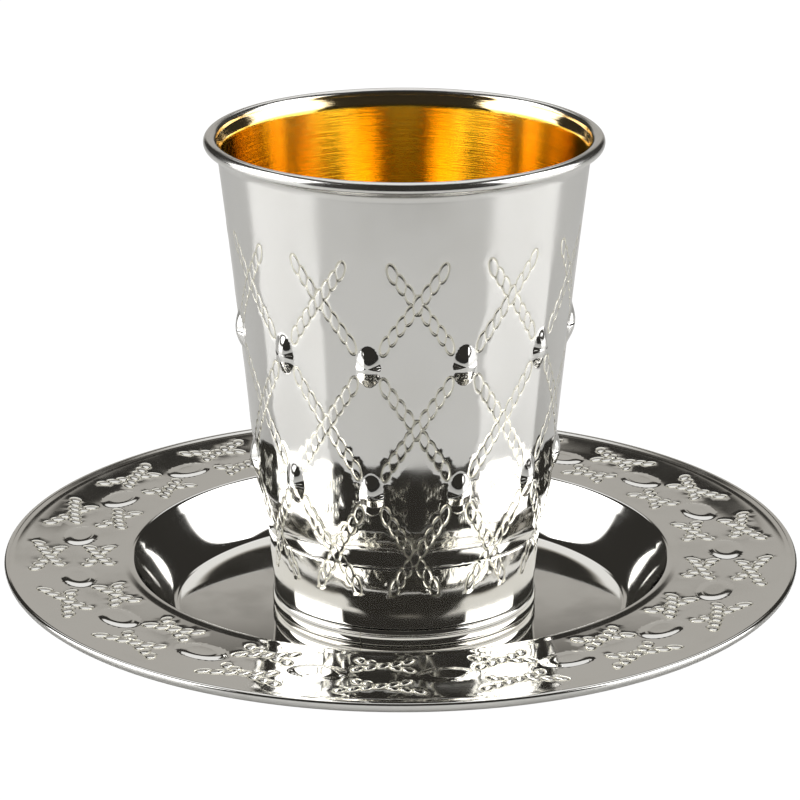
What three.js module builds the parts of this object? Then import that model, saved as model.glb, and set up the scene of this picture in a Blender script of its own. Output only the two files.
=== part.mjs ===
// Kiddush cup on its matching saucer, in millimetres, +Z up.
// The origin is at the middle of the saucer's underside, on the surface it stands on.
// The cup is a straight beaker with a rounded lip and a hollow foot, the foot ring is a
// soldered wire hoop, and the saucer is a flat flange with a deep round well.
// Both carry the same ornament: rope strands that cross in a lattice, with oval bosses
// set in the openings where the strands stop short.
import * as THREE from "three";

// ---- driving dimensions

const clearance = 0.3; // between pieces that rest on or are soldered to each other

const saucer = {
  sheet: 0.9,
  floorRadius: 38.6,
  lipRadius: 46.3, // where the well meets the flange
  lipHeight: 10,
  lipRound: 0.7,
  flangeRadius: 66, // the flange meets its rounded edge here
  flangeRise: 0.38,
  segments: 48,
  // radius and height of the outline's corners, from the middle outwards
  underWell: [[38.9, 0], [43.7, 3.1], [46.5, 7.5], [47.4, 9.1]],
  // under the flange and round its edge, which is turned under
  edge: [[65.8, 9.48], [65.2, 8.9], [66, 8.45], [67.5, 9.1], [68, 10.3], [67.4, 10.55]],
  wallShares: [0.8, 0.45], // where the well's wall is parted, from its top down
};

const ring = {
  height: 2.55,
  outerRadius: 22.9,
  innerRadius: 20.4,
  rounding: 0.75, // how far its rounded outside bulges
  segments: 30,
};

const cup = {
  sheet: 0.8,
  bandBottomRadius: 22.35,
  bandTopRadius: 23.3,
  bandTop: 15,
  creaseRadius: 23.15,
  creaseHeight: 15.3,
  shoulderStart: 15.7,
  shoulderHeight: 22, // below this the wall rounds in to the foot
  shoulderRadius: 25.05,
  shoulderRounding: 0.027,
  taper: 0.087, // the wall's slope at the shoulder
  flare: 0.00029, // how fast that slope grows with height
  neckHeight: 80.1,
  lipRadius: 33.5,
  lipHeight: 82.85, // of the middle of the rounded lip
  lipRound: 1.08,
  lipTurns: [-62, 15, 90, 165], // directions of the lip's corners from its middle
  insideMiddle: 45, // the inside wall is parted here
  floorTop: 16,
  floorCorner: 2.6,
  floorTurns: [0, 45, 90],
  footCorner: 1.5, // in the hollow foot, under the floor
  segments: 39,
};

const cupRope = {
  columns: 11,
  fieldLines: 2,
  firstAngle: -90 + 4.3, // a crossing, in degrees from +X
  rows: [17.4, 28.8, 40.6, 51.6, 62.7, 74], // heights of the lattice points
  kinds: ["crossing", "boss", "crossing", "boss", "crossing", "end"],
  strandHalf: 0.084, // half a strand's width, as a share of the lattice step
  stopAtBoss: 0.72, // how far a strand runs from its crossing towards a boss
  stopAtEnd: 0.47,
  ribHeight: 0.4,
  crossingHeight: 0.5,
  boss: { across: 2.15, along: 3.65, height: 1, shoulder: 0.62, slant: 40 },
};

const saucerRope = {
  columns: 18,
  fieldLines: 1,
  firstAngle: -90 - 3.4 + 10, // an outer end point, halfway between two crossings
  rows: [64.4, 60.3, 56, 52, 47.9], // radii of the lattice points
  kinds: ["end", "crossing", "boss", "crossing", "end"],
  strandHalf: 0.11,
  stopAtBoss: 0.54,
  stopAtEnd: 0.58,
  ribHeight: 0.35,
  crossingHeight: 0.45,
  boss: { across: 4.65, along: 2.9, height: 0.8, shoulder: 0.62, slant: 34 },
};

// The lower tips of the cup's strands run over the shoulder onto the foot band, from the
// height where the band is plain to the height where they are full.
const tipRows = { plain: 11, full: 12.6 };

// ---- a closed surface made of rings

const fullTurn = 2 * Math.PI;
const radians = THREE.MathUtils.degToRad;
const { lerp } = THREE.MathUtils;

// Points are kept as cylinder coordinates until the geometry is made.
class RingSurface {
  constructor() {
    this.points = [];
    this.faces = [];
    this.last = null;
  }

  addPoint(angle, radius, height) {
    this.points.push({ angle, radius, height });
    return this.points.length - 1;
  }

  addPole(height) {
    const pole = this.addPoint(0, 0, height);
    if (this.last) {
      this.closeOnto(pole, false);
    }
    this.pole = pole;
    this.last = null;
  }

  // Joins a ring, given in order of angle, to the ring or pole before it.
  addRing(ringPoints) {
    if (this.last) {
      this.bridge(this.last, ringPoints);
      this.last = ringPoints;
      return;
    }
    this.last = ringPoints;
    this.closeOnto(this.pole, true);
  }

  plainRing(radius, height, segments) {
    const made = [];
    for (let i = 0; i < segments; i += 1) {
      made.push(this.addPoint((i / segments) * fullTurn, radius, height));
    }
    this.addRing(made);
  }

  closeOnto(pole, poleFirst) {
    const around = this.last;
    around.forEach((point, i) => {
      const next = around[(i + 1) % around.length];
      this.faces.push(poleFirst ? [pole, next, point] : [point, next, pole]);
    });
  }

  // Two rings with any numbers of points are joined by stepping along whichever is behind.
  bridge(before, after) {
    const from = this.unrolled(before);
    const to = this.unrolled(after);
    let i = 0;
    let j = 0;
    while (i < before.length || j < after.length) {
      const stepFrom = j === after.length || (i < before.length && from[i + 1].angle <= to[j + 1].angle);
      if (stepFrom) {
        this.faces.push([from[i].id, from[i + 1].id, to[j].id]);
        i += 1;
      } else {
        this.faces.push([from[i].id, to[j + 1].id, to[j].id]);
        j += 1;
      }
    }
  }

  // The ring's points from the smallest angle once round, with the first repeated.
  unrolled(ringPoints) {
    const turned = ringPoints.map((id) => {
      const angle = this.points[id].angle;
      return { id, angle: angle - fullTurn * Math.floor(angle / fullTurn) };
    });
    turned.sort((p, q) => p.angle - q.angle);
    turned.push({ id: turned[0].id, angle: turned[0].angle + fullTurn });
    return turned;
  }

  geometry() {
    const position = new Float32Array(this.points.length * 3);
    this.points.forEach(({ angle, radius, height }, i) => {
      position.set([radius * Math.cos(angle), radius * Math.sin(angle), height], i * 3);
    });
    const made = new THREE.BufferGeometry();
    made.setAttribute("position", new THREE.BufferAttribute(position, 3));
    made.setIndex(this.faces.flat());
    made.computeVertexNormals();
    return made;
  }
}

// ---- the rope lattice

const endSpread = 0.9; // how far the points round a strand's end are drawn apart
const endCorner = 0.2;
const shoulderRise = 0.8; // of a boss's height

// The strands run along two families of slanting lines. A point of the lattice has a whole
// number on both lines. Each step between such points is parted at the strands' edges and
// once or twice more in the open field.
class RopeLattice {
  constructor(sizes) {
    Object.assign(this, sizes);
    this.parts = this.fieldLines + 3;
    this.step = fullTurn / this.columns;
  }

  // A line's number from its index: the whole step it belongs to, its side of the nearest
  // lattice point (0 out in the field) and its share of the step.
  line(index) {
    const whole = Math.floor(index / this.parts);
    const k = index - whole * this.parts;
    if (k < 2) {
      return { whole, near: whole, side: k, share: k * this.strandHalf };
    }
    if (k === this.parts - 1) {
      return { whole, near: whole + 1, side: -1, share: 1 - this.strandHalf };
    }
    return { whole, near: null, side: null, share: (k - 1) / (this.fieldLines + 1) };
  }

  // Where a grid point lies on the two lines, what it belongs to and how far it stands out.
  gridPoint(indexA, indexB) {
    const A = this.line(indexA);
    const B = this.line(indexB);
    if (A.near !== null && B.near !== null) {
      return this.patchPoint(A, B);
    }
    if (A.near === null && B.near === null) {
      return { a: A.whole + A.share, b: B.whole + B.share, raise: 0 };
    }
    return A.near === null ? this.armPoint(A, B, true) : this.armPoint(B, A, false);
  }

  // One of the nine points on and round a lattice point.
  patchPoint(A, B) {
    const kind = this.kinds[A.near - B.near];
    let reach = this.strandHalf;
    if (kind === "end" && A.side !== B.side) {
      reach = A.side * B.side === 0 ? endSpread - this.stopAtEnd : endCorner;
    }
    let raise = 0;
    if (kind === "crossing" && A.side * B.side === 0) {
      raise = A.side === B.side ? this.crossingHeight : this.ribHeight;
    }
    const boss = kind === "boss" ? { a: A.near, b: B.near, i: A.side, j: B.side } : null;
    return { a: A.near + A.side * reach, b: B.near + B.side * reach, raise, boss };
  }

  // A point on or beside an arm, which runs from its crossing and stops before a boss or end.
  armPoint(along, across, alongIsA) {
    const kindAt = (whole) => this.kinds[alongIsA ? whole - across.near : across.near - whole];
    const fromLow = kindAt(along.whole) === "crossing";
    const target = kindAt(fromLow ? along.whole + 1 : along.whole);
    const stop = target === "boss" ? this.stopAtBoss : this.stopAtEnd;
    const lastShare = this.fieldLines / (this.fieldLines + 1);
    const reach = (stop * (fromLow ? along.share : 1 - along.share)) / lastShare;
    const onArm = along.whole + (fromLow ? reach : 1 - reach);
    const beside = across.near + across.side * this.strandHalf;
    const raise = across.side === 0 ? this.ribHeight : 0;
    return alongIsA ? { a: onArm, b: beside, raise } : { a: beside, b: onArm, raise };
  }

  angleOf(a, b) {
    return radians(this.firstAngle) + ((a + b) / 2) * this.step;
  }

  // Height or radius of a place between the rows of lattice points.
  valueAt(row) {
    const below = Math.min(Math.max(Math.floor(row), 0), this.rows.length - 2);
    return lerp(this.rows[below], this.rows[below + 1], row - below);
  }

  // A point of a boss, i and j being its side on the two lines and share its way out.
  bossPlace({ a, b, i, j }, share, radius) {
    const middle = this.valueAt(a - b);
    const onward = Math.sign(this.valueAt(a - b + 1) - middle);
    const slant = radians(this.boss.slant);
    const turn = i * j === 0 ? slant : (1 - i * j) * (Math.PI / 4);
    const across = Math.sign(i + j) * Math.cos(turn) * this.boss.across * share;
    const along = Math.sign(i - j) * Math.sin(turn) * this.boss.along * share;
    return { angle: this.angleOf(a, b) + across / radius, value: middle + onward * along };
  }

  // Adds the whole band to a surface. placeOf gives radius and height from a value between
  // the rows and the ornament's height there.
  addTo(surface, placeOf) {
    const place = (angle, value, raise) => {
      const { radius, height } = placeOf(value, raise);
      return surface.addPoint(angle, radius, height);
    };
    const levels = (this.rows.length - 1) * this.parts;
    const around = this.columns * this.parts;
    const bossPoints = new Map();
    const rings = [];
    for (let level = 0; level <= levels; level += 1) {
      const ringPoints = [];
      for (let k = 0; k < around; k += 1) {
        const sum = 2 * k + (level % 2);
        const spot = this.gridPoint((sum + level) / 2, (sum - level) / 2);
        if (!spot.boss) {
          ringPoints.push(place(this.angleOf(spot.a, spot.b), this.valueAt(spot.a - spot.b), spot.raise));
          continue;
        }
        const radius = placeOf(this.valueAt(spot.boss.a - spot.boss.b), 0).radius;
        const isTop = spot.boss.i === 0 && spot.boss.j === 0;
        const at = this.bossPlace(spot.boss, isTop ? 0 : 1, radius);
        const id = place(at.angle, at.value, isTop ? this.boss.height : 0);
        const shoulder = this.bossPlace(spot.boss, this.boss.shoulder, radius);
        const rise = this.boss.height * shoulderRise;
        const shoulderId = isTop ? null : place(shoulder.angle, shoulder.value, rise);
        bossPoints.set(id, { ...spot.boss, shoulderId });
        bossPoints.set(this.bossKey(spot.boss, spot.boss.i, spot.boss.j), id);
        ringPoints.push(id);
      }
      rings.push(ringPoints);
    }
    surface.addRing(rings[0]);
    for (let level = 0; level < levels; level += 1) {
      this.joinRings(surface, rings[level], rings[level + 1], level % 2, bossPoints);
    }
    surface.last = rings[levels];
  }

  // Odd rings sit half a step further round than even ones.
  joinRings(surface, here, above, isOdd, bossPoints) {
    here.forEach((point, k) => {
      const next = (k + 1) % here.length;
      const second = isOdd ? above[next] : above[k];
      this.addFace(surface, [point, here[next], second], bossPoints);
      const third = isOdd ? [point, above[next], above[k]] : [here[next], above[next], above[k]];
      this.addFace(surface, third, bossPoints);
    });
  }

  // Faces that meet a boss's top are parted at its shoulder, and spread to its tips.
  addFace(surface, face, bossPoints) {
    const marks = face.map((id) => bossPoints.get(id));
    const peak = marks.findIndex((mark) => mark && mark.shoulderId === null);
    if (peak < 0) {
      const beyondTop = marks.every((mark) => mark) && marks.some((mark) => mark.i * mark.j === -1);
      if (!beyondTop) {
        surface.faces.push(face);
      }
      return;
    }
    const top = face[peak];
    const first = face[(peak + 1) % 3];
    const second = face[(peak + 2) % 3];
    const p = bossPoints.get(first);
    const q = bossPoints.get(second);
    const tipBetween = p.i !== q.i && p.j !== q.j;
    const tip = tipBetween ? bossPoints.get(this.bossKey(p, p.i + q.i, p.j + q.j)) : null;
    const edge = tipBetween ? [first, tip, second] : [first, second];
    for (let n = 0; n + 1 < edge.length; n += 1) {
      const [outerP, outerQ] = [edge[n], edge[n + 1]];
      const innerP = bossPoints.get(outerP).shoulderId;
      const innerQ = bossPoints.get(outerQ).shoulderId;
      surface.faces.push([top, innerP, innerQ], [innerP, outerP, outerQ], [innerP, outerQ, innerQ]);
    }
  }

  bossKey({ a, b }, i, j) {
    return [THREE.MathUtils.euclideanModulo(a, this.columns), a - b, i, j].join(" ");
  }
}

// ---- cup

function cupWallRadius(z) {
  const up = z - cup.shoulderHeight;
  const straight = cup.shoulderRadius + cup.taper * up + (up > 0 ? cup.flare * up * up : 0);
  return up < 0 ? straight - cup.shoulderRounding * up * up : straight;
}

function bandRadius(z) {
  return lerp(cup.bandBottomRadius, cup.bandTopRadius, (z - cupBottom) / (cup.bandTop - cupBottom));
}

const ringBottom = saucer.sheet + clearance;
const ringTop = ringBottom + ring.height;
const cupBottom = ringTop + clearance;

// A ring of the foot with the two strands of each column as low ribs.
function addTipRing(surface, radius, z, raise) {
  const lattice = cupLattice;
  const apart = (lattice.rows[0] - z) / (lattice.rows[1] - lattice.rows[0]) / 2;
  const half = lattice.strandHalf;
  const inner = Math.max(apart - half, apart / 3);
  const innerRaise = raise * Math.max(0, 1 - (apart - inner) / half);
  const centreRaise = raise * Math.max(0, 1 - apart / half);
  const stations = [
    [-apart - half, 0],
    [-apart, raise],
    [-inner, innerRaise],
    [0, centreRaise],
    [inner, innerRaise],
    [apart, raise],
    [apart + half, 0],
    [0.5, 0],
  ];
  const made = [];
  for (let column = 0; column < lattice.columns; column += 1) {
    for (const [share, lift] of stations) {
      const angle = radians(lattice.firstAngle) + (column + share) * lattice.step;
      made.push(surface.addPoint(angle, radius + lift, z));
    }
  }
  surface.addRing(made);
}

const cupLattice = new RopeLattice(cupRope);

function makeCup() {
  const surface = new RingSurface();
  const n = cup.segments;
  const floorUnder = cup.floorTop - cup.sheet;
  const cornerUnder = bandRadius(floorUnder) - cup.sheet;
  // underside of the floor and the inside of the hollow foot
  surface.addPole(floorUnder);
  surface.plainRing(cornerUnder - cup.footCorner, floorUnder, n);
  surface.plainRing(cornerUnder, floorUnder - cup.footCorner, n);
  surface.plainRing(bandRadius(cupBottom) - cup.sheet, cupBottom, n);
  // the foot band, the crease above it and the rounded shoulder
  surface.plainRing(bandRadius(cupBottom), cupBottom, n);
  addTipRing(surface, bandRadius(tipRows.plain), tipRows.plain, 0);
  addTipRing(surface, bandRadius(tipRows.full), tipRows.full, cupLattice.ribHeight);
  addTipRing(surface, cup.bandTopRadius, cup.bandTop, cupLattice.ribHeight);
  addTipRing(surface, cup.creaseRadius, cup.creaseHeight, cupLattice.ribHeight);
  addTipRing(surface, cupWallRadius(cup.shoulderStart), cup.shoulderStart, cupLattice.ribHeight);
  cupLattice.addTo(surface, (z, raise) => ({ radius: cupWallRadius(z) + raise, height: z }));
  // the neck and the everted lip
  surface.plainRing(cupWallRadius(cup.neckHeight), cup.neckHeight, n);
  const lipCentre = cup.lipRadius - cup.lipRound;
  for (const turn of cup.lipTurns.map(radians)) {
    const radius = lipCentre + cup.lipRound * Math.cos(turn);
    surface.plainRing(radius, cup.lipHeight + cup.lipRound * Math.sin(turn), n);
  }
  // the inside, down to a floor with a rounded corner
  const insideRadius = (z) => cupWallRadius(z) - cup.sheet;
  surface.plainRing(insideRadius(cup.neckHeight), cup.neckHeight, n);
  surface.plainRing(insideRadius(cup.insideMiddle), cup.insideMiddle, n);
  const cornerTop = cup.floorTop + cup.floorCorner;
  const cornerCentre = insideRadius(cornerTop) - cup.floorCorner;
  for (const turn of cup.floorTurns.map(radians)) {
    const radius = cornerCentre + cup.floorCorner * Math.cos(turn);
    surface.plainRing(radius, cornerTop - cup.floorCorner * Math.sin(turn), n);
  }
  surface.addPole(cup.floorTop);
  return surface.geometry();
}

// ---- foot ring

// A wire hoop with a rounded outside and a flat top and bottom.
function makeFootRing() {
  const section = new THREE.Path();
  const half = ring.height / 2;
  const middle = ringBottom + half;
  const round = ring.rounding;
  section.moveTo(ring.innerRadius, ringBottom);
  section.lineTo(ring.outerRadius - round, ringBottom);
  section.absellipse(ring.outerRadius - round, middle, round, half, -Math.PI / 2, Math.PI / 2);
  section.lineTo(ring.innerRadius, ringTop);
  section.lineTo(ring.innerRadius, ringBottom);
  const outline = section.getPoints(3).filter((p, i, all) => i === 0 || p.distanceTo(all[i - 1]) > 1e-6);
  return new THREE.LatheGeometry(outline, ring.segments).rotateX(Math.PI / 2);
}

// ---- saucer

function flangeHeight(radius) {
  const share = (radius - saucer.lipRadius) / (saucer.flangeRadius - saucer.lipRadius);
  return saucer.lipHeight + saucer.flangeRise * share;
}

// The well's wall leaves the floor in a hollow curve and meets the lip almost upright.
function wellHeight(radius) {
  const share = (radius - saucer.floorRadius) / (saucer.lipRadius - saucer.lipRound - saucer.floorRadius);
  const rise = saucer.lipHeight - saucer.lipRound - saucer.sheet;
  return saucer.sheet + rise * (1 - Math.cos((share * Math.PI) / 2)) ** 0.75;
}

const saucerLattice = new RopeLattice(saucerRope);

function makeSaucer() {
  const surface = new RingSurface();
  const n = saucer.segments;
  const wellTop = saucer.lipRadius - saucer.lipRound;
  surface.addPole(0);
  for (const [radius, height] of [...saucer.underWell, ...saucer.edge]) {
    surface.plainRing(radius, height, n);
  }
  surface.plainRing(saucer.flangeRadius, flangeHeight(saucer.flangeRadius), n);
  saucerLattice.addTo(surface, (radius, raise) => ({ radius, height: flangeHeight(radius) + raise }));
  // the lip of the well, its wall and the floor
  surface.plainRing(saucer.lipRadius, flangeHeight(saucer.lipRadius), n);
  surface.plainRing(wellTop, saucer.lipHeight - saucer.lipRound, n);
  for (const share of saucer.wallShares) {
    const radius = lerp(saucer.floorRadius, wellTop, share);
    surface.plainRing(radius, wellHeight(radius), n);
  }
  surface.plainRing(saucer.floorRadius, saucer.sheet, n);
  surface.addPole(saucer.sheet);
  return surface.geometry();
}

// ---- the set

const silver = { color: 0xd6d5d1, roughness: 0.14, metalness: 1 };

function addPiece(group, name, geometry) {
  const mesh = new THREE.Mesh(geometry, new THREE.MeshStandardMaterial(silver));
  mesh.name = name;
  group.add(mesh);
}

const group = new THREE.Group();
group.name = "kiddush_cup_set";
addPiece(group, "cup", makeCup());
addPiece(group, "foot_ring", makeFootRing());
addPiece(group, "saucer", makeSaucer());

export default group;
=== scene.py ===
import bpy
import math
import numpy as np
from mathutils.geometry import delaunay_2d_cdt
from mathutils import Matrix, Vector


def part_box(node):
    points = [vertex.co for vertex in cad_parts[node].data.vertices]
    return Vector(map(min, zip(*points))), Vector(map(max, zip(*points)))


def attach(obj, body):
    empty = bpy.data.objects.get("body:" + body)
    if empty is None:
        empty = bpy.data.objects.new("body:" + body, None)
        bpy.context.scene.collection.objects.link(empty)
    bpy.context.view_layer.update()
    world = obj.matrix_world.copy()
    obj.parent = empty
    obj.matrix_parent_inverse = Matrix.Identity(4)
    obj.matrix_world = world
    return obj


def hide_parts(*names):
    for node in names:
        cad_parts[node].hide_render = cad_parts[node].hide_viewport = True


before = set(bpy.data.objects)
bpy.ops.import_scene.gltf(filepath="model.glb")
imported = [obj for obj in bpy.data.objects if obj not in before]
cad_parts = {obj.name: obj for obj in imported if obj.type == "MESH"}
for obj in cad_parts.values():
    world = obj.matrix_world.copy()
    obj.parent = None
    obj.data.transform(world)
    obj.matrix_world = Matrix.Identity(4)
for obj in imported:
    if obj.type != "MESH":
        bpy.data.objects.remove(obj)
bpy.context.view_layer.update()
millimetre = 0.001

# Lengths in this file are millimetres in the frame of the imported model, and angles are degrees.


def boxOf(node):
    low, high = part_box(node)
    return [c / millimetre for c in low], [c / millimetre for c in high]


cupLow, cupHigh = boxOf("cup")
ringLow, ringHigh = boxOf("foot_ring")
saucerHigh = boxOf("saucer")[1]


# the output of a node, which can be used in sums
class Wire:
    def __init__(self, recipe, socket):
        self.recipe = recipe
        self.socket = socket

    def calc(self, operation, *values):
        return self.recipe.node("Math", {"operation": operation}, dict(enumerate(values)))

    def __add__(self, other):
        return self.calc("ADD", self, other)

    def __radd__(self, other):
        return self.calc("ADD", other, self)

    def __sub__(self, other):
        return self.calc("SUBTRACT", self, other)

    def __rsub__(self, other):
        return self.calc("SUBTRACT", other, self)

    def __mul__(self, other):
        return self.calc("MULTIPLY", self, other)

    def __rmul__(self, other):
        return self.calc("MULTIPLY", other, self)

    def __abs__(self):
        return self.calc("ABSOLUTE", self)


# the nodes of one material, or of the world
class Recipe:
    def __init__(self, tree):
        self.tree = tree
        tree.nodes.clear()

    def node(self, kind, settings=None, inputs=None, output=0):
        made = self.tree.nodes.new("ShaderNode" + kind)
        for name, value in (settings or {}).items():
            setattr(made, name, value)
        for name, value in (inputs or {}).items():
            socket = made.inputs[name]
            if isinstance(value, Wire):
                self.tree.links.new(value.socket, socket)
            else:
                socket.default_value = value
        if made.outputs:
            return Wire(self, made.outputs[output])

    def blend(self, share, first, second):
        sockets = {"Factor": share, 6: first, 7: second}
        return self.node("Mix", {"data_type": "RGBA"}, sockets, 2)

    # 0 below start, 1 above end, smooth between
    def step(self, value, start, end):
        sockets = {"Value": value, "From Min": start, "From Max": end}
        return self.node("MapRange", {"interpolation_type": "SMOOTHSTEP"}, sockets)

    # 1 between two soft edges, each given by its start and end
    def window(self, value, rising, falling):
        return self.step(value, *rising) * (1 - self.step(value, *falling))

    def noise(self, place, scale, detail, rough=0.5):
        sockets = {"Vector": place, "Scale": scale, "Detail": detail, "Roughness": rough}
        return self.node("TexNoise", {}, sockets)

    def scaled(self, vector, factors):
        return self.node("VectorMath", {"operation": "MULTIPLY"}, {0: vector, 1: factors})

    def bump(self, height, strength, depth):
        sockets = {"Strength": strength, "Distance": depth * millimetre, "Height": height}
        return self.node("Bump", {}, sockets)

    # how far a place lies along a direction, in millimetres
    def distance(self, place, direction):
        perMetre = tuple(c / millimetre for c in direction)
        return self.node("VectorMath", {"operation": "DOT_PRODUCT"}, {0: place, 1: perMetre}, "Value")


# a closed mesh gathered from rings and tiles, with its own normals
class Shell:
    def __init__(self, around, firstAngle=0.0):
        self.angles = math.radians(firstAngle) + np.arange(around) * (2 * math.pi / around)
        self.places = []
        self.normals = []
        self.carves = []
        self.count = 0
        self.faces = []
        self.finishes = []
        self.last = None
        self.finish = 0

    def add(self, places, normals, carves):
        first = self.count
        self.places.append(places)
        self.normals.append(normals)
        self.carves.append(carves)
        self.count += len(places)
        return np.arange(first, self.count)

    def addFaces(self, faces):
        self.faces.extend(faces.tolist())
        self.finishes.extend([self.finish] * len(faces))

    # faces from the last ring to this one, where a ring of one point is a pole
    def join(self, ids):
        if self.last is not None:
            if len(self.last) == 1:
                fan = [np.full(len(ids), self.last[0]), np.roll(ids, -1), ids]
                self.addFaces(np.stack(fan, 1))
            elif len(ids) == 1:
                fan = [self.last, np.roll(self.last, -1), np.full(len(self.last), ids[0])]
                self.addFaces(np.stack(fan, 1))
            else:
                quads = [self.last, np.roll(self.last, -1), np.roll(ids, -1), ids]
                self.addFaces(np.stack(quads, 1))
        self.last = ids

    # rings along an outline of (radius, height) points that keeps the metal on its left
    def sweep(self, outline):
        points = np.array(outline, float)
        run = np.gradient(points, axis=0)
        run /= np.linalg.norm(run, axis=1)[:, None]
        c, s = np.cos(self.angles), np.sin(self.angles)
        for (radius, height), (runOut, runUp) in zip(points, run):
            if radius < 1e-6:
                facing = np.array([[0, 0, -np.sign(runOut) or 1.0]])
                self.join(self.add(np.array([[0, 0, height]]), facing, np.zeros(1)))
                continue
            places = np.stack([radius * c, radius * s, np.full(len(c), height)], 1)
            normals = np.stack([runUp * c, runUp * s, np.full(len(c), -runOut)], 1)
            self.join(self.add(places, normals, np.zeros(len(c))))

    def build(self, name, materials, settle=None):
        mesh = bpy.data.meshes.new(name)
        places = np.concatenate(self.places)
        if settle:
            places = settle(places)
        places = places * millimetre
        mesh.from_pydata(places.tolist(), [], self.faces)
        for material in materials:
            mesh.materials.append(material)
        mesh.polygons.foreach_set("material_index", np.array(self.finishes, np.int32))
        mesh.polygons.foreach_set("use_smooth", np.ones(len(self.faces), bool))
        carve = mesh.attributes.new("carve", "FLOAT", "POINT")
        carve.data.foreach_set("value", np.concatenate(self.carves).astype(np.float32))
        mesh.update()
        normals = np.concatenate(self.normals)
        normals /= np.linalg.norm(normals, axis=1)[:, None]
        mesh.normals_split_custom_set_from_vertices(normals.tolist())
        made = bpy.data.objects.new(name, mesh)
        bpy.context.scene.collection.objects.link(made)
        print(name, len(self.faces), "faces")
        return made


def arc(middle, radii, start, end, steps):
    turns = np.radians(np.linspace(start, end, steps))
    return [(middle[0] + radii[0] * math.cos(t), middle[1] + radii[1] * math.sin(t)) for t in turns]


def ease(value, start, end):
    share = np.clip((value - start) / (end - start), 0, 1)
    return share * share * (3 - 2 * share)


# how the marks are shaped and how finely they are meshed, the same on cup and saucer
chasing = {
    "tip": (0.3, 0.8),  # the groove deepens over this share of a leaf's half length
    "insideEdge": (-0.05, 0.12),
    "mostCarved": 1.4,
    "leafMiddle": (-0.5, 0, 0.5),
    "seamSteps": 9,
    "seamRows": (-0.13, 0, 0.13),
    "clearOfSeam": 0.2,
    "clearOfRim": 0.3,
    "bossSteps": 14,
    "bossRings": (0, 0.25, 0.5, 0.7, 0.84, 0.93, 1.0, 1.07, 1.18),
    "clearOfSides": 0.15,
    "clearOfEnds": 0.2,
    "fieldStep": 1.3,
    "rowShare": 0.87,
    "fieldRoom": 0.42,
    "creaseStep": 0.8,
    "creaseRoom": 0.12,
    "slopeStep": 0.015,
    "snap": 1e-3,
}


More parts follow.
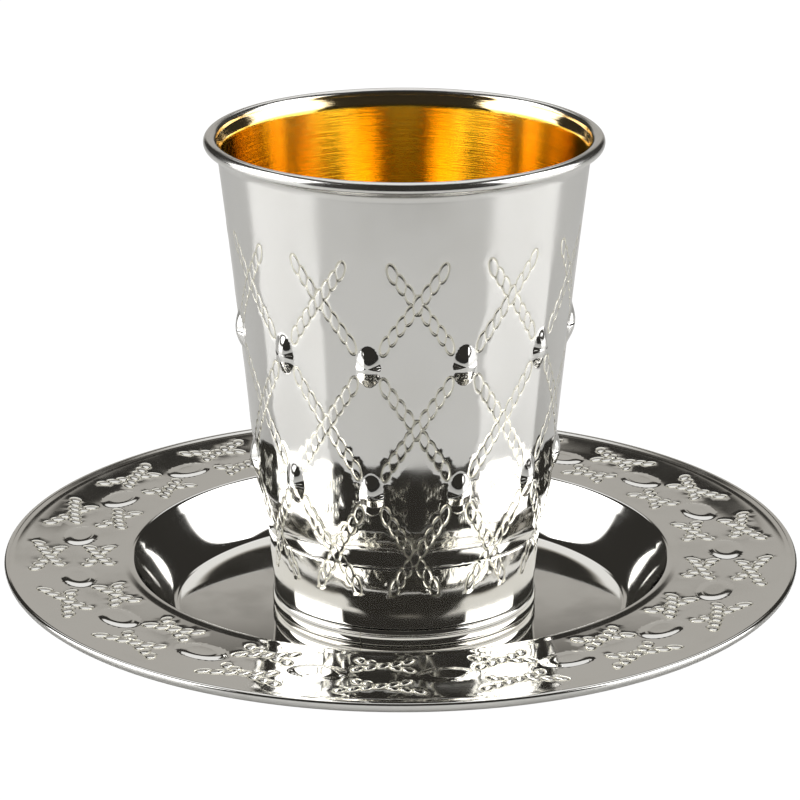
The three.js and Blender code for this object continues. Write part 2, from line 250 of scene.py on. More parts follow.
# The rope lattice is worked in a tile one column wide. Its x runs round the piece at the tile's
# own radius, and its y up the cup or out across the saucer. Each crossing has its own scale, so
# that its leaves keep their true size.
class RopeTile:
    def __init__(self, rope, radiusAt):
        self.rope = rope
        self.radiusAt = radiusAt
        self.middle = radiusAt(sum(rope["span"]) / 2)
        self.width = 2 * math.pi * self.middle / rope["columns"]
        self.strands = []
        for crossing in rope["crossings"]:
            radius = radiusAt(crossing["at"])
            lean = math.atan2(math.pi * radius / rope["columns"], crossing["toBoss"])
            self.strands.append({**crossing, "scale": radius / self.middle, "lean": lean})

    # places near a crossing, measured along and across one of its strands
    def onStrand(self, strand, hand, x, y):
        s, c = math.sin(strand["lean"]), math.cos(strand["lean"])
        right, up = x * strand["scale"], y - strand["at"]
        return hand * right * s + up * c, hand * right * c - up * s

    # back from a strand to x and y
    def offStrand(self, strand, hand, along, across):
        s, c = math.sin(strand["lean"]), math.cos(strand["lean"])
        right, up = hand * (along * s + across * c), along * c - across * s
        return right / strand["scale"], up + strand["at"]

    # the same places measured along and across leaf number k
    def onLeaf(self, along, across, k):
        turn = math.radians(self.rope["leafTurn"])
        s, c = math.sin(turn), math.cos(turn)
        onward = along - k * self.rope["pitch"]
        return onward * c - across * s, onward * s + across * c

    # back from leaf number k to its strand
    def offLeaf(self, q, w, k):
        turn = math.radians(self.rope["leafTurn"])
        s, c = math.sin(turn), math.cos(turn)
        return q * c + w * s + k * self.rope["pitch"], w * c - q * s

    # size is 1 on the leaf's outline; its slopes and the place along the leaf come with it
    def leafField(self, along, across, k):
        long, wide = self.rope["leaf"]
        q, w = self.onLeaf(along, across, k)
        size = np.sqrt((q / long) ** 2 + (w / wide) ** 2) + 1e-9
        return size, q / long ** 2 / size, w / wide ** 2 / size, q

    # the nearest leaf's size, and the distances to its outline and to the seam with the next
    def leaves(self, strand, along, across):
        best = np.full_like(along, 99.0)
        second = best.copy()
        grads = [np.zeros_like(along) for _ in range(4)]
        q = np.zeros_like(along)
        for k in range(-strand["leavesDown"], strand["leavesUp"] + 1):
            size, gq, gw, ownQ = self.leafField(along, across, k)
            nearer = size < best
            middle = ~nearer & (size < second)
            second = np.where(nearer, best, np.where(middle, size, second))
            grads[2] = np.where(nearer, grads[0], np.where(middle, gq, grads[2]))
            grads[3] = np.where(nearer, grads[1], np.where(middle, gw, grads[3]))
            best = np.where(nearer, size, best)
            grads[0] = np.where(nearer, gq, grads[0])
            grads[1] = np.where(nearer, gw, grads[1])
            q = np.where(nearer, ownQ, q)
        toRim = (best - 1) / (np.hypot(grads[0], grads[1]) + 1e-6)
        toSeam = (second - best) / (np.hypot(grads[0] - grads[2], grads[1] - grads[3]) + 1e-6)
        return best, q, toRim, toSeam

    # carved depth (0 to 1) and crown of one strand, and the share that lies inside it
    def strandMarks(self, strand, hand, x, y):
        rope = self.rope
        along, across = self.onStrand(strand, hand, x, y)
        size, q, toRim, toSeam = self.leaves(strand, along, across)
        wide = rope["grooveWidth"]
        tip = ease(np.abs(q) / rope["leaf"][0], *chasing["tip"])
        atRim = np.exp(-(toRim / wide) ** 2) * (rope["sideDepth"] + tip * (1 - rope["sideDepth"]))
        inside = 1 - ease(toRim, *chasing["insideEdge"])
        atSeam = np.exp(-(toSeam / wide) ** 2) * inside * rope["seamDepth"]
        crown = np.clip(1 - size ** 2, 0, 1)
        return np.maximum(atRim, atSeam), crown, inside

    def bossRise(self, boss, x, y):
        rope = self.rope
        scale = self.radiusAt(boss["at"]) / self.middle
        right = (np.abs(x) - self.width / 2) * scale / boss["halfWidth"]
        up = y - boss["at"]
        tall = np.where(up > 0, boss["reachUp"], boss["reachDown"])
        out = np.sqrt(right ** 2 + (up / tall) ** 2)
        out = np.clip((out - rope["flatShare"]) / (1 - rope["flatShare"]), 0, 1)
        power = np.where(up > 0, rope["topPower"], rope["bottomPower"])
        return boss["height"] * (1 - out ** 2) ** power

    # height over the plain surface, and how deeply it is carved
    def relief(self, x, y):
        rope = self.rope
        rise = np.zeros_like(x)
        carve = np.zeros_like(x)
        for strand in self.strands:
            near = np.abs(y - strand["at"]) < rope["reach"]
            if not near.any():
                continue
            px, py = x[near], y[near]
            overMark, overCrown, overInside = self.strandMarks(strand, rope["over"], px, py)
            underMark, underCrown, _ = self.strandMarks(strand, -rope["over"], px, py)
            mark = np.maximum(overMark, underMark * (1 - overInside))
            crown = np.maximum(overCrown, underCrown * (1 - overInside))
            rise[near] += rope["crown"] * crown - rope["depth"] * mark
            carve[near] = np.maximum(carve[near], np.clip(mark, 0, chasing["mostCarved"]))
        for boss in rope["bosses"]:
            rise += self.bossRise(boss, x, y)
        return rise, carve

    # mesh points of one leaf: rows inside and outside its outline, and three along its middle
    def leafPattern(self):
        rope = self.rope
        long, wide = rope["leaf"]
        around = np.arange(rope["leafSteps"]) * 2 * math.pi / rope["leafSteps"]
        offset, t = (v.ravel() for v in np.meshgrid(rope["leafOffsets"], around))
        slope = np.hypot(np.cos(t) / long, np.sin(t) / wide)
        leafQ = long * np.cos(t) + offset * np.cos(t) / long / slope
        leafW = wide * np.sin(t) + offset * np.sin(t) / wide / slope
        row = np.array(chasing["leafMiddle"])
        return np.concatenate([leafQ, row * long]), np.concatenate([leafW, row * 0])

    # mesh points of the seam between two leaves, which is a chord of both
    def seamPattern(self):
        rope = self.rope
        long, wide = rope["leaf"]
        turn = math.radians(rope["leafTurn"])
        stepQ, stepW = rope["pitch"] * math.cos(turn), rope["pitch"] * math.sin(turn)
        chord = np.array([-stepW / wide * long, stepQ / long * wide])
        chord /= np.linalg.norm(chord)
        square = np.array([-chord[1], chord[0]])
        reach = np.linspace(-1, 1, chasing["seamSteps"]) * rope["seamHalf"]
        row, out = (v.ravel() for v in np.meshgrid(reach, chasing["seamRows"]))
        seamQ = stepQ / 2 + row * chord[0] + out * square[0]
        return seamQ, stepW / 2 + row * chord[1] + out * square[1]

    def strandPoints(self):
        rope = self.rope
        clearOfRim, clearOfSeam = chasing["clearOfRim"], chasing["clearOfSeam"]
        leafQ, leafW = self.leafPattern()
        seamQ, seamW = self.seamPattern()
        found = []
        for strand in self.strands:
            for hand in (1, -1):
                own = []
                for k in range(-strand["leavesDown"], strand["leavesUp"] + 1):
                    along, across = self.offLeaf(leafQ, leafW, k)
                    best, _, toRim, toSeam = self.leaves(strand, along, across)
                    size = self.leafField(along, across, k)[0]
                    keep = (size <= best + 1e-6) & ((toSeam > clearOfSeam) | (toRim > clearOfRim))
                    own.append(np.stack([along[keep], across[keep]], 1))
                    if k < strand["leavesUp"]:
                        own.append(np.stack(self.offLeaf(seamQ, seamW, k), 1))
                x, y = self.offStrand(strand, hand, *np.concatenate(own).T)
                if hand != rope["over"]:
                    overRim = self.leaves(strand, *self.onStrand(strand, rope["over"], x, y))[2]
                    x, y = x[overRim > clearOfRim], y[overRim > clearOfRim]
                found.append(np.stack([x, y], 1))
        return found

    # rings round the bosses, which sit on the tile's two sides, and their heights on the sides
    def bossPoints(self):
        half = self.width / 2
        found, onSide = [], []
        for boss in self.rope["bosses"]:
            scale = self.radiusAt(boss["at"]) / self.middle
            for share in chasing["bossRings"]:
                steps = chasing["bossSteps"] if share else 0
                for step in range(-steps, steps + 1):
                    turn = math.pi * step / chasing["bossSteps"]
                    up = math.cos(turn)
                    reach = boss["reachUp"] if up > 0 else boss["reachDown"]
                    x = abs(math.sin(turn)) * share * boss["halfWidth"] / scale
                    y = boss["at"] + up * share * reach
                    if abs(math.sin(turn)) < 1e-9:
                        onSide.append(y)
                    elif step > 0:
                        found.append(np.array([[x - half, y], [half - x, y]]))
        return found, onSide

    # open ground between the ornaments, as (x, y, room kept clear round it)
    def fieldPoints(self):
        half = self.width / 2
        low, high = self.rope["span"]
        gap = chasing["fieldStep"]
        rows = np.arange(low + gap * 0.8, high - gap * 0.4, gap * chasing["rowShare"])
        found = []
        for row, y in enumerate(rows):
            start = gap * (0.5 + 0.5 * (row % 2))
            for x in np.arange(-half + start, half - gap * 0.3, gap):
                found.append((x, y, chasing["fieldRoom"] * gap))
        gap = chasing["creaseStep"]
        for y in self.rope["creases"]:
            for x in np.arange(-half + gap, half - gap / 2, gap):
                found.append((x, y, chasing["creaseRoom"]))
        return found

    # all mesh points of the tile; those on its left and right sides match
    def points(self):
        rope = self.rope
        half = self.width / 2
        low, high = rope["span"]
        gap, clear = chasing["fieldStep"], chasing["clearOfEnds"]
        rings, onSide = self.bossPoints()
        placed = np.concatenate(self.strandPoints() + rings)
        border = sorted(set(np.round(onSide, 6)))
        for y in list(np.arange(low, high, gap)) + rope["creases"]:
            if min([abs(y - b) for b in border] + [9]) > 0.5 * gap or y in rope["creases"]:
                border.append(y)
        border = np.array(sorted(set(border) - {low, high}))
        border = border[(border > low + clear) & (border < high - clear)]
        x, y = placed.T
        within = (y > low + clear) & (y < high - clear)
        placed = placed[(np.abs(x) < half - chasing["clearOfSides"]) & within]
        for x, y, room in self.fieldPoints():
            apart = np.hypot(placed[:, 0] - x, placed[:, 1] - y)
            if apart.min() > room:
                placed = np.concatenate([placed, [[x, y]]])
        rows = [np.stack([np.full(len(border), side), border], 1) for side in (-half, half)]
        ends = np.linspace(-half, half, rope["steps"] + 1)
        rows += [np.stack([ends, np.full(len(ends), y)], 1) for y in (low, high)]
        return np.concatenate([placed] + rows)

    # the tile's points and its triangles, which all face the given way
    def triangles(self, outward):
        half = self.width / 2
        found = delaunay_2d_cdt([tuple(p) for p in self.points().tolist()], [], [], 0, 1e-5)
        flat = np.array([tuple(v) for v in found[0]], float)
        for side in (-half, half):
            flat[np.abs(flat[:, 0] - side) < chasing["snap"], 0] = side
        for end in self.rope["span"]:
            flat[np.abs(flat[:, 1] - end) < chasing["snap"], 1] = end
        triangles = np.array([f for f in found[2] if len(f) == 3])
        a, b, c = (flat[triangles[:, k]] for k in range(3))
        area = (b[:, 0] - a[:, 0]) * (c[:, 1] - a[:, 1]) - (b[:, 1] - a[:, 1]) * (c[:, 0] - a[:, 0])
        triangles = triangles[np.abs(area) > 1e-9]
        area = area[np.abs(area) > 1e-9]
        triangles[area < 0] = triangles[area < 0][:, ::-1]
        return flat, triangles[:, ::-1] if outward < 0 else triangles

    # adds the whole band to a shell; mapping turns angle, y and rise into a place
    def addTo(self, shell, mapping, outward):
        rope = self.rope
        half = self.width / 2
        columns = rope["columns"]
        flat, triangles = self.triangles(outward)
        left = np.where(flat[:, 0] == -half)[0]
        right = np.where(flat[:, 0] == half)[0]
        left = left[np.argsort(flat[left, 1])]
        right = right[np.argsort(flat[right, 1])]
        # a tile's right side is the left side of the next
        own = np.ones(len(flat), bool)
        own[right] = False
        ownIds = np.where(own)[0]
        place = np.full(len(flat), -1)
        place[ownIds] = np.arange(len(ownIds))
        x, y = flat[ownIds, 0], flat[ownIds, 1]
        firstAngle = math.radians(rope["firstAngle"])
        aside = chasing["slopeStep"]

        def spot(dx, dy, column):
            rise, carve = self.relief(x + dx, y + dy)
            angle = (x + dx + (column + 0.5) * self.width) / self.middle + firstAngle
            return mapping(angle, y + dy, rise), carve

        first = shell.count
        for column in range(columns):
            places, carve = spot(0, 0, column)
            acrossRun = spot(aside, 0, column)[0] - spot(-aside, 0, column)[0]
            alongRun = spot(0, aside, column)[0] - spot(0, -aside, column)[0]
            shell.add(places, np.cross(acrossRun, alongRun) * outward, carve)
        for column in range(columns):
            ids = place + first + column * len(ownIds)
            ids[right] = place[left] + first + (column + 1) % columns * len(ownIds)
            shell.addFaces(ids[triangles])
        rings = []
        for end in rope["span"]:
            row = np.where(own & (flat[:, 1] == end))[0]
            row = place[row[np.argsort(flat[row, 0])]]
            rings.append(np.concatenate([row + first + k * len(ownIds) for k in range(columns)]))
        return rings


silverFinish = {
    "colour": (0.93, 0.92, 0.89, 1),
    "carvedColour": (0.96, 0.93, 0.80, 1),
    "dullColour": (0.86, 0.84, 0.78, 1),
    "dullShare": 0.25,
    "dullPatches": (0.35, 0.8),
    "carvedEdge": (0.05, 0.6),
    "polish": 0.05,
    "smudges": 0.05,
    "smudgePatches": (0.4, 0.75),
    "carvedRough": 0.22,
    "satin": 0.12,  # the plain band under the cup's lip is a little less bright
    "satinHeight": (60.0, 74.0),
    "spinLines": 0.015,
    "grain": 0.002,
    "bump": 0.25,
    "bumpDepth": 0.1,
    "patchScale": 90.0,
    "lineScale": 60.0,
    "lineStretch": 60,
    "grainScale": 1400.0,
}

giltFinish = {
    "colour": (1.0, 0.73, 0.15, 1),
    "deepColour": (0.97, 0.66, 0.11, 1),
    "rimColour": (0.96, 0.76, 0.44, 1),
    "rimHeight": (81.3, 81.7),
    "polish": 0.085,
    "deepPatches": (0.3, 0.75),
    "patchRough": 0.04,
    "roughPatches": (0.3, 0.8),
    "lineRough": 0.05,
    "bump": 0.3,
    "bumpDepth": 0.1,
    "patchScale": 70.0,
    "lineScale": 90.0,
    "lineStretch": 40,
    "brushed": 0.8,
    "brushTurn": 0.25,
}


def startMaterial(name):
    material = bpy.data.materials.new(name)
    material.use_nodes = True
    return material, Recipe(material.node_tree)


def silver(name, settings):
    material, recipe = startMaterial(name)
    place = recipe.node("TexCoord", {}, {}, "Object")
    carve = recipe.node("Attribute", {"attribute_name": "carve"}, {}, "Fac")
    patches = recipe.noise(place, settings["patchScale"], 4.0)
    stretched = recipe.scaled(place, (1, 1, settings["lineStretch"]))
    hairlines = recipe.noise(stretched, settings["lineScale"], 2.0, 0.6)
    grain = recipe.noise(place, settings["grainScale"], 2.0)
    carved = recipe.step(carve, *settings["carvedEdge"])
    colour = recipe.blend(carved, settings["colour"], settings["carvedColour"])
    dull = recipe.step(patches, *settings["dullPatches"]) * settings["dullShare"]
    colour = recipe.blend(dull, colour, settings["dullColour"])
    smudged = recipe.step(patches, *settings["smudgePatches"])
    rough = settings["polish"] + settings["smudges"] * smudged
    height = recipe.distance(place, (0, 0, 1))
    satin = settings["satin"] * recipe.step(height, *settings["satinHeight"])
    rough = rough + settings["carvedRough"] * carved + satin
    lines = hairlines * settings["spinLines"] + grain * settings["grain"]
    bump = recipe.bump(lines, settings["bump"], settings["bumpDepth"])
    sockets = {"Base Color": colour, "Metallic": 1.0, "Roughness": rough, "Normal": bump}
    shader = recipe.node("BsdfPrincipled", {}, sockets)
    recipe.node("OutputMaterial", {}, {"Surface": shader})
    return material


def gilt(name, settings):
    material, recipe = startMaterial(name)
    place = recipe.node("TexCoord", {}, {}, "Object")
    patches = recipe.noise(place, settings["patchScale"], 4.0)
    stretched = recipe.scaled(place, (1, 1, settings["lineStretch"]))
    lines = recipe.noise(stretched, settings["lineScale"], 3.0, 0.6)
    deep = recipe.step(patches, *settings["deepPatches"])
    colour = recipe.blend(deep, settings["colour"], settings["deepColour"])
    # the gilding is thin and pale at the lip
    atRim = recipe.step(recipe.distance(place, (0, 0, 1)), *settings["rimHeight"])
    colour = recipe.blend(atRim, colour, settings["rimColour"])
    worn = recipe.step(patches, *settings["roughPatches"])
    rough = settings["polish"] + settings["patchRough"] * worn + settings["lineRough"] * lines
    bump = recipe.bump(lines, settings["bump"], settings["bumpDepth"])
    sockets = {"Base Color": colour, "Metallic": 1.0, "Roughness": rough, "Normal": bump}
    sockets["Anisotropic"] = settings["brushed"]
    sockets["Anisotropic Rotation"] = settings["brushTurn"]
    shader = recipe.node("BsdfPrincipled", {}, sockets)
    recipe.node("OutputMaterial", {}, {"Surface": shader})
    return material


cupSilver = silver("cup_polished_silver", silverFinish)
ringSilver = silver("ring_polished_silver", silverFinish)
saucerSilver = silver("saucer_polished_silver", silverFinish)
cupGilt = gilt("cup_gilding", giltFinish)

cup = {
    "sheet": 0.8,
    "bandBottomRadius": 22.35,
    "bandTopRadius": 23.3,
    "bandTop": 15.0,
    "creaseRadius": 23.15,
    "creaseHeight": 15.3,
    "wallBottom": 15.7,
    "shoulderHeight": 22.0,
    "shoulderRadius": 25.05,
    "shoulderRounding": 0.027,
    "taper": 0.087,
    "flare": 0.00029,
    "neckHeight": 80.1,
    # out and up from the neck, where the wall turns into the lip
    "neckTurn": [(0, 0), (0.02, 0.25), (0.12, 0.7), (0.36, 1.25), (0.62, 1.6)],
    "lipRadius": cupHigh[0],
    "lipHeight": 82.85,
    "lipRound": 1.08,
    # the inside in (radius, height): a cone under the lip, and a nearly straight wall
    "lipCone": [(31.25, 82.75), (31.0, 82.33), (30.75, 81.92), (30.55, 81.58), (30.42, 81.3)],
    "upperInside": [
        (30.36, 80.8), (30.22, 79), (29.96, 76), (29.61, 72), (29.35, 69), (29.06, 66),
        (28.6, 62), (28.12, 58), (27.62, 54), (27.1, 50),
    ],
    "lowerInside": (42, 36, 30, 25, 22, 20),  # heights of rings, as are the next two
    "upperWall": (72.3, 74, 77, 79, 79.8),
    "lowerBand": (8.0, 9.6),
    "floorTop": 16.0,
    "floorCorner": 2.6,
    "underCorner": 1.5,  # in the hollow under the floor
    "footRound": 0.25,
}

cupRope = {
    "columns": 11,
    "steps": 16,
    "firstAngle": -90 + 4.3 - 180 / 11,
    "span": (10.2, 71.5),
    "crossings": [
        {"at": 17.4, "toBoss": 11.4, "leavesUp": 4, "leavesDown": 3},
        {"at": 40.6, "toBoss": 11.4, "leavesUp": 4, "leavesDown": 4},
        {"at": 62.65, "toBoss": 11.1, "leavesUp": 3, "leavesDown": 4},
    ],
    "bosses": [
        {"at": 28.8, "halfWidth": 2.15, "reachUp": 3.9, "reachDown": 3.6, "height": 1.0},
        {"at": 51.6, "halfWidth": 2.15, "reachUp": 3.9, "reachDown": 3.6, "height": 1.0},
    ],
    "pitch": 2.25,
    "over": 1,
    "leaf": (1.75, 0.78),
    "leafTurn": 20,
    "leafSteps": 24,
    "leafOffsets": [-0.36, -0.19, -0.09, 0.0, 0.09, 0.19, 0.36],
    "seamHalf": 0.72,
    "grooveWidth": 0.2,
    "depth": 0.07,
    "sideDepth": 0.65,
    "seamDepth": 0.55,
    "crown": 0.03,
    "topPower": 1.5,
    "bottomPower": 1.2,
    "flatShare": 0.0,
    "reach": 12.5,
    "creases": [14.85, 15.05, 15.3, 15.55, 15.8],
}


def cupWallRadius(z):
    up = z - cup["shoulderHeight"]
    straight = cup["shoulderRadius"] + cup["taper"] * up
    return straight + np.where(up > 0, cup["flare"], -cup["shoulderRounding"]) * up * up


def bandRadius(z):
    share = (z - cupLow[2]) / (cup["bandTop"] - cupLow[2])
    return cup["bandBottomRadius"] + share * (cup["bandTopRadius"] - cup["bandBottomRadius"])


# the foot band, the crease above it and the wall
def cupOutside(z):
    bottom = cup["wallBottom"]
    heights = [cup["bandTop"], cup["creaseHeight"], bottom]
    radii = [cup["bandTopRadius"], cup["creaseRadius"], cupWallRadius(bottom)]
    between = np.interp(z, heights, radii)
    lower = np.where(z < cup["bandTop"], bandRadius(z), between)
    return np.where(z > bottom, cupWallRadius(z), lower)


def cupInside(z):
    return float(cupWallRadius(z)) - cup["sheet"]


def makeCup():
    tile = RopeTile(cupRope, lambda z: float(cupOutside(z)))
    shell = Shell(cupRope["columns"] * cupRope["steps"], cupRope["firstAngle"])
    sheet = cup["sheet"]
    bottom = cupLow[2]
    floorUnder = cup["floorTop"] - sheet
    corner = bandRadius(floorUnder) - sheet
    foot = bandRadius(bottom)
    under, small = cup["underCorner"], cup["footRound"]
    # the hollow under the floor, the foot's edge and the start of the band
    outline = [(0, floorUnder), (8, floorUnder), (corner - under - 0.4, floorUnder)]
    outline += arc((corner - under, floorUnder - under), (under, under), 80, 5, 6)
    outline += [(corner - 0.1, floorUnder - 2.2)]
    outline += [(foot - sheet + 0.02, bottom + 0.6), (foot - sheet, bottom + 0.3)]
    outline += arc((foot - sheet + small, bottom + small), (small, small), 200, 265, 4)
    outline += arc((foot - small, bottom + small), (small, small), 275, 350, 4)
    outline += [(bandRadius(z), z) for z in (bottom + 0.5, bottom + 2) + cup["lowerBand"]]
    shell.sweep(outline)

    def mapping(angle, z, rise):
        radius = cupOutside(z) + rise
        return np.stack([radius * np.cos(angle), radius * np.sin(angle), z], 1)

    bottomRing, topRing = tile.addTo(shell, mapping, 1)
    shell.join(bottomRing)
    shell.last = topRing
    neck = cup["neckHeight"]
    neckRadius = float(cupWallRadius(neck))
    lipMiddle = (cup["lipRadius"] - cup["lipRound"], cup["lipHeight"])
    lipRadii = (cup["lipRound"],) * 2
    outline = [(float(cupWallRadius(z)), z) for z in cup["upperWall"]]
    outline += [(neckRadius + out, neck + up) for out, up in cup["neckTurn"]]
    outline += arc(lipMiddle, lipRadii, -95, 150, 26)
    shell.sweep(outline)
    # the gilding begins on the inner side of the lip
    shell.finish = 1
    outline = arc(lipMiddle, lipRadii, 158, 176, 3) + cup["lipCone"] + cup["upperInside"]
    outline += [(cupInside(z), z) for z in cup["lowerInside"]]
    cornerTop = cup["floorTop"] + cup["floorCorner"]
    cornerMiddle = (cupInside(cornerTop) - cup["floorCorner"], cornerTop)
    outline += arc(cornerMiddle, (cup["floorCorner"],) * 2, 0, -90, 10)
    outline += [(radius, cup["floorTop"]) for radius in (cornerMiddle[0] - 2, 8, 0)]
    shell.sweep(outline)
    return shell.build("cup_body", [cupSilver, cupGilt])


cupBody = makeCup()
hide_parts("cup")
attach(cupBody, "root")
print("cup made")

# a hoop of drawn wire with a butt seam
ring = {
    "width": 2.5,
    "settled": 0.27,  # onto the saucer
    "soldered": 0.12,  # against the foot
    "bulge": 0.75,
    "innerRound": 0.3,
    "seamAngle": -90 - 19.0,
    "seamGap": 0.10,
    "endRound": 0.08,
    "endShrink": 0.12,
    "endCarve": 0.8,
    "steps": 220,
}


def makeRing():
    low, high = ringLow[2] - ring["settled"], ringHigh[2] + ring["soldered"]
    outer = ringHigh[0]
    inner = outer - ring["width"]
    middle = (low + high) / 2
    small = ring["innerRound"]
    section = arc((outer - ring["bulge"], middle), (ring["bulge"], (high - low) / 2), -86, 86, 15)
    section += arc((inner + small, high - small), (small, small), 95, 175, 5)
    section += arc((inner + small, low + small), (small, small), 185, 265, 5)
    section = np.array(section)
    run = np.roll(section, -1, 0) - np.roll(section, 1, 0)
    run /= np.linalg.norm(run, axis=1)[:, None]
    gap = ring["seamGap"] / outer / 2
    turns = math.radians(ring["seamAngle"]) + np.linspace(gap, 2 * math.pi - gap, ring["steps"])
    # the wire's ends are a little rounded
    edge = ring["endRound"] / outer
    first, last = turns[:1], turns[-1:]
    turns = np.concatenate([first, first + edge, turns[1:-1], last - edge, last])
    centre = np.array([(outer + inner) / 2, middle])
    shell = Shell(len(section))
    rows = []
    for k, turn in enumerate(turns):
        c, s = math.cos(turn), math.sin(turn)
        atEnd = k in (0, len(turns) - 1)
        shape = centre + (section - centre) * (1 - ring["endShrink"] * atEnd)
        places = np.stack([shape[:, 0] * c, shape[:, 0] * s, shape[:, 1]], 1)
        normals = np.stack([run[:, 1] * c, run[:, 1] * s, -run[:, 0]], 1)
        rows.append(shell.add(places, normals, np.full(len(section), ring["endCarve"] * atEnd)))
    for before, after in zip(rows, rows[1:]):
        quads = [before, after, np.roll(after, -1), np.roll(before, -1)]
        shell.addFaces(np.stack(quads, 1))
    for end in (rows[0], rows[-1][::-1]):
        shell.addFaces(end[None])
    return shell.build("foot_wire", [ringSilver])


footWire = makeRing()
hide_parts("foot_ring")
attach(footWire, "root")
print("foot ring made")

saucer = {
    "sheet": 0.9,
    "floorRadius": 38.6,
    "floorRings": (38.0, 36, 30, 20, 10, 0),
    "underFloor": (0, 12, 30),
    "underWell": (0.3, 0.5, 0.7, 0.85, 0.95),  # shares of the way from the floor to the lip
    "underFlange": (49, 54, 60, 64, 65),
    "wellTop": 0.93,
    "wellSteps": 21,
    "lipRadius": 46.3,
    "lipHeight": 10.0,
    "lipRound": 0.7,
    "flangeRadius": 66.0,
    # the ornamented band leans in a little more than its plain borders
    "flangeRise": [(46.3, 0.0), (55.5, 0.01), (58.5, 0.07), (62.0, 0.27), (66.0, 0.48)],
    "flangeSoftening": (0.5, 1.0, 1.5),
    # the edge is turned under; these are (radius, height) up its hem and then in over its crest
    "hem": [
        (65.28, 9.3), (65.25, 8.95), (65.45, 8.62), (65.75, 8.48), (66.1, 8.45), (66.6, 8.58),
        (67.1, 8.82), (67.5, 9.15), (67.8, 9.55), (67.95, 9.95),
    ],
    "edgeRadius": saucerHigh[0],
    "edgeHeight": 10.2,
    "crest": [(67.93, 10.46), (67.7, 10.58), (67.4, 10.61), (67.0, 10.58), (66.5, 10.5)],
    # the lip in (radius, height over the flange), and the roll that ends it
    "lipTurn": [(47.6, 0), (47.1, 0.02), (46.8, 0.04)],
    "rollMiddle": 46.45,
    "rollRadii": (0.8, 0.74),
    "lean": 0.78,  # up at the back, down in front
    "shift": -0.6,
    "wander": (3.6, -0.6),  # degrees
}

saucerRope = {
    "columns": 18,
    "steps": 14,
    "firstAngle": -90 - 3.4 - 10,
    "span": (48.2, 65.2),
    "crossings": [
        {"at": 52.0, "toBoss": 3.95, "leavesUp": 2, "leavesDown": 2},
        {"at": 60.3, "toBoss": 4.4, "leavesUp": 3, "leavesDown": 2},
    ],
    "bosses": [
        {"at": 56.0, "halfWidth": 4.65, "reachUp": 2.9, "reachDown": 2.9, "height": 0.22},
    ],
    "over": -1,
    "pitch": 2.05,
    "leaf": (1.28, 0.84),
    "leafTurn": 36,
    "leafSteps": 20,
    "leafOffsets": [-0.3, -0.16, -0.08, 0.0, 0.08, 0.17, 0.34],
    "seamHalf": 0.55,
    "grooveWidth": 0.16,
    "depth": 0.085,
    "sideDepth": 0.6,
    "seamDepth": 0.9,
    "crown": 0.15,
    "topPower": 1.1,
    "bottomPower": 1.1,
    "flatShare": 0.6,
    "reach": 5.5,
    "creases": [],
}


def flangeHeight(radius):
    rises = tuple(zip(*saucer["flangeRise"]))
    rise = np.interp(radius, *rises)
    for apart in saucer["flangeSoftening"]:
        rise = rise + np.interp(radius - apart, *rises) + np.interp(radius + apart, *rises)
    return saucer["lipHeight"] + rise / (1 + 2 * len(saucer["flangeSoftening"]))


def wellHeight(radius):
    top = saucer["lipRadius"] - saucer["lipRound"]
    share = (radius - saucer["floorRadius"]) / (top - saucer["floorRadius"])
    rise = saucer["lipHeight"] - saucer["lipRound"] - saucer["sheet"]
    return saucer["sheet"] + rise * (1 - math.cos(share * math.pi / 2)) ** 0.75


# the motifs were set out by hand, closer together on one side
def wander(angle):
    first, second = np.radians(saucer["wander"])
    return angle + first * np.cos(angle) + second * np.sin(angle)


# the cup stands a little off the middle of the saucer, whose edge is not quite level
def settle(places):
    floor = saucer["floorRadius"]
    radius = np.hypot(places[:, 0], places[:, 1])
    share = np.clip((radius - floor) / (saucer["edgeRadius"] - floor), 0, 1)
    places[:, 2] += saucer["lean"] * share * places[:, 1] / (radius + 1e-9)
    places[:, 0] += saucer["shift"]
    return places


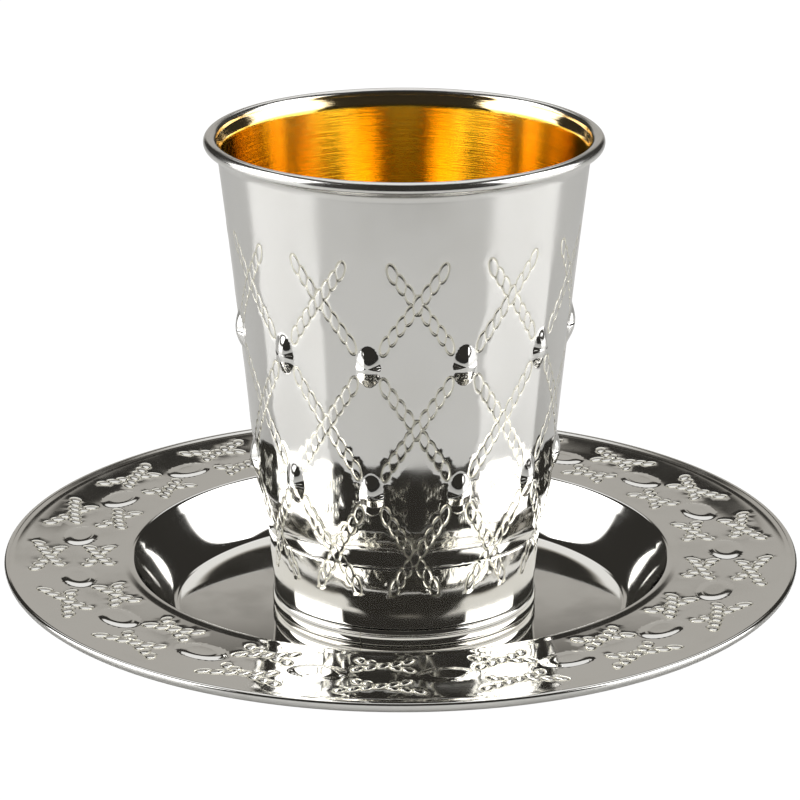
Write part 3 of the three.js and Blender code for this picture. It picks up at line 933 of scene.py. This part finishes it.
def makeSaucer():
    tile = RopeTile(saucerRope, lambda radius: float(radius))
    shell = Shell(saucerRope["columns"] * saucerRope["steps"], saucerRope["firstAngle"])
    shell.angles = wander(shell.angles)
    sheet, lip = saucer["sheet"], saucer["lipHeight"]
    floorRadius = saucer["floorRadius"]
    wellTop = saucer["lipRadius"] - saucer["lipRound"]
    wellRun = wellTop - floorRadius
    # underside
    outline = [(radius, 0) for radius in saucer["underFloor"]]
    outline += [(floorRadius - 0.5, 0), (floorRadius + 0.6, 0.1)]
    for share in saucer["underWell"]:
        radius = floorRadius + share * wellRun
        outline.append((radius + 0.75 + 0.15 * share, wellHeight(radius) - 0.9 + 0.5 * share))
    outline += [(wellTop + sheet, lip - 2.4), (wellTop + sheet + 0.25, lip - 1.4)]
    outline += [(wellTop + sheet + 0.9, flangeHeight(wellTop) - sheet)]
    outline += [(radius, flangeHeight(radius) - sheet) for radius in saucer["underFlange"]]
    outline += saucer["hem"] + [(saucer["edgeRadius"], saucer["edgeHeight"])]
    outline += saucer["crest"] + [(saucer["flangeRadius"], flangeHeight(saucer["flangeRadius"]))]
    shell.sweep(outline)

    def mapping(angle, radius, rise):
        angle = wander(angle)
        height = flangeHeight(radius) + rise
        return np.stack([radius * np.cos(angle), radius * np.sin(angle), height], 1)

    innerRing, outerRing = tile.addTo(shell, mapping, -1)
    shell.join(outerRing)
    shell.last = innerRing
    # the lip rolls over into the well
    outline = [(radius, flangeHeight(radius) + up) for radius, up in saucer["lipTurn"]]
    outline += arc((saucer["rollMiddle"], lip - saucer["lipRound"]), saucer["rollRadii"], 80, 150, 8)
    for share in np.linspace(saucer["wellTop"], 0.0, saucer["wellSteps"]):
        radius = floorRadius + share * wellRun
        outline.append((radius, wellHeight(radius)))
    outline += [(radius, sheet) for radius in saucer["floorRings"]]
    shell.sweep(outline)
    return shell.build("saucer_dish", [saucerSilver], settle)


saucerDish = makeSaucer()
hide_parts("saucer")
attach(saucerDish, "root")
print("saucer made")

# Soft edges are pairs of start and end. Azimuths are from the front, the same to both sides.
studio = {
    "lens": 167.8,
    "sensor": 36.0,
    "camera": (-0.7, -603.1, 234.66),
    "lookDown": 18.13,
    "floorSize": 12000.0,
    "floorDrop": 0.02,
    "floorColour": (0.88, 0.88, 0.87, 1),
    "floorGloss": 1.55,
    "floorRough": 0.12,
    "floorGlow": 1.09,
    "glowShare": 0.93,
    # painted shade: the floor beyond the table edge is near black, standing in for the dark room
    "paintedShadeBeyondTable": (0.03, 0.03, 0.03, 1),
    "tableEdge": (190.0, 230.0),
    "softboxAzimuth": ((57, 61), (114, 117)),
    "softboxHeight": ((2, 5), (48, 52)),
    "softboxPower": 2.75,
    "backAzimuth": (158, 164),
    "backGrey": 0.385,
    "backEdge": (21.2, 22.2),
    "backTop": (25, 27),
    "middleAzimuth": (178.2, 179.2),  # only here does the back reach its full height
    "stripHalf": (0.30, 0.36),
    "stripBehind": (28, 31),
    "stripFront": (84, 88),
    "stripSides": (90, 91),
    "topGrey": 0.8,
    "darkRoom": 0.028,
    "shadeTint": (1.0, 0.94, 0.84, 1),
    "tintRange": (0.05, 0.9),
}


# a glossy white table, dark beyond its front edge, where the floor is painted near black as painted
# shade for the dark room seen in reflections
def makeFloor():
    half = studio["floorSize"] / 2 * millimetre
    mesh = bpy.data.meshes.new("studio_floor")
    corners = [(-half, -half, 0), (half, -half, 0), (half, half, 0), (-half, half, 0)]
    mesh.from_pydata(corners, [], [(0, 1, 2, 3)])
    material, recipe = startMaterial("studio_floor")
    seen = recipe.node("LightPath", {}, {}, "Is Camera Ray")
    place = recipe.node("TexCoord", {}, {}, "Object")
    edge = recipe.step(recipe.distance(place, (0, -1, 0)), *studio["tableEdge"])
    # painted shade: past the table edge the floor turns near black, for dark reflections in the metal
    colour = recipe.blend(edge, studio["floorColour"], studio["paintedShadeBeyondTable"])
    gloss = {"Roughness": studio["floorRough"], "IOR": studio["floorGloss"]}
    plain = recipe.node("BsdfPrincipled", {}, {"Base Color": colour, **gloss})
    white = recipe.node("Emission", {}, {"Color": (1, 1, 1, 1), "Strength": studio["floorGlow"]})
    mixed = recipe.node("MixShader", {}, {"Fac": seen * studio["glowShare"], 1: plain, 2: white})
    recipe.node("OutputMaterial", {}, {"Surface": mixed})
    mesh.materials.append(material)
    made = bpy.data.objects.new("studio_floor", mesh)
    made.location.z = -studio["floorDrop"] * millimetre
    bpy.context.scene.collection.objects.link(made)


# two softboxes, a grey back and an overhead strip in a dark room, painted by direction
def makeRoom():
    world = bpy.data.worlds.new("studio")
    bpy.context.scene.world = world
    world.use_nodes = True
    recipe = Recipe(world.node_tree)
    direction = recipe.node("TexCoord", {}, {}, "Generated")
    x, y, z = (recipe.node("SeparateXYZ", {}, {0: direction}, axis) for axis in "XYZ")
    rise = z.calc("ARCSINE", z) * (180 / math.pi)
    side = x.calc("ARCTAN2", abs(x), 0 - y) * (180 / math.pi)
    boxes = studio["softboxPower"] * recipe.window(side, *studio["softboxAzimuth"])
    boxes = boxes * recipe.window(rise, *studio["softboxHeight"])
    above = recipe.step(rise, *studio["backEdge"])
    aside = 1 - recipe.step(side, *studio["middleAzimuth"])
    back = recipe.step(side, *studio["backAzimuth"]) * (1 - above * aside)
    back = back * (1 - recipe.step(rise, *studio["backTop"]))
    behind = recipe.step(side, *studio["stripSides"])
    over = recipe.step(rise, *studio["stripBehind"]) * behind
    over = over + recipe.step(rise, *studio["stripFront"]) * (1 - behind)
    top = (1 - recipe.step(abs(x), *studio["stripHalf"])) * over
    light = studio["darkRoom"] + boxes + back * studio["backGrey"] + top * studio["topGrey"]
    seen = recipe.node("LightPath", {}, {}, "Is Camera Ray")
    strength = seen + (1 - seen) * light
    bright = recipe.step(strength, *studio["tintRange"])
    tint = recipe.blend(bright, studio["shadeTint"], (1, 1, 1, 1))
    shade = recipe.node("Background", {}, {"Color": tint, "Strength": strength})
    recipe.node("OutputWorld", {}, {"Surface": shade})


def makeCamera():
    data = bpy.data.cameras.new("camera")
    data.lens = studio["lens"]
    data.sensor_width = studio["sensor"]
    data.clip_start = 0.05
    data.clip_end = 50
    made = bpy.data.objects.new("camera", data)
    made.location = [c * millimetre for c in studio["camera"]]
    made.rotation_euler = (math.radians(90 - studio["lookDown"]), 0, 0)
    bpy.context.scene.collection.objects.link(made)
    bpy.context.scene.camera = made


makeFloor()
makeRoom()
makeCamera()
view = bpy.context.scene.view_settings
view.view_transform = "Standard"
view.look = "None"
view.exposure = 0
view.gamma = 1
print("studio made")
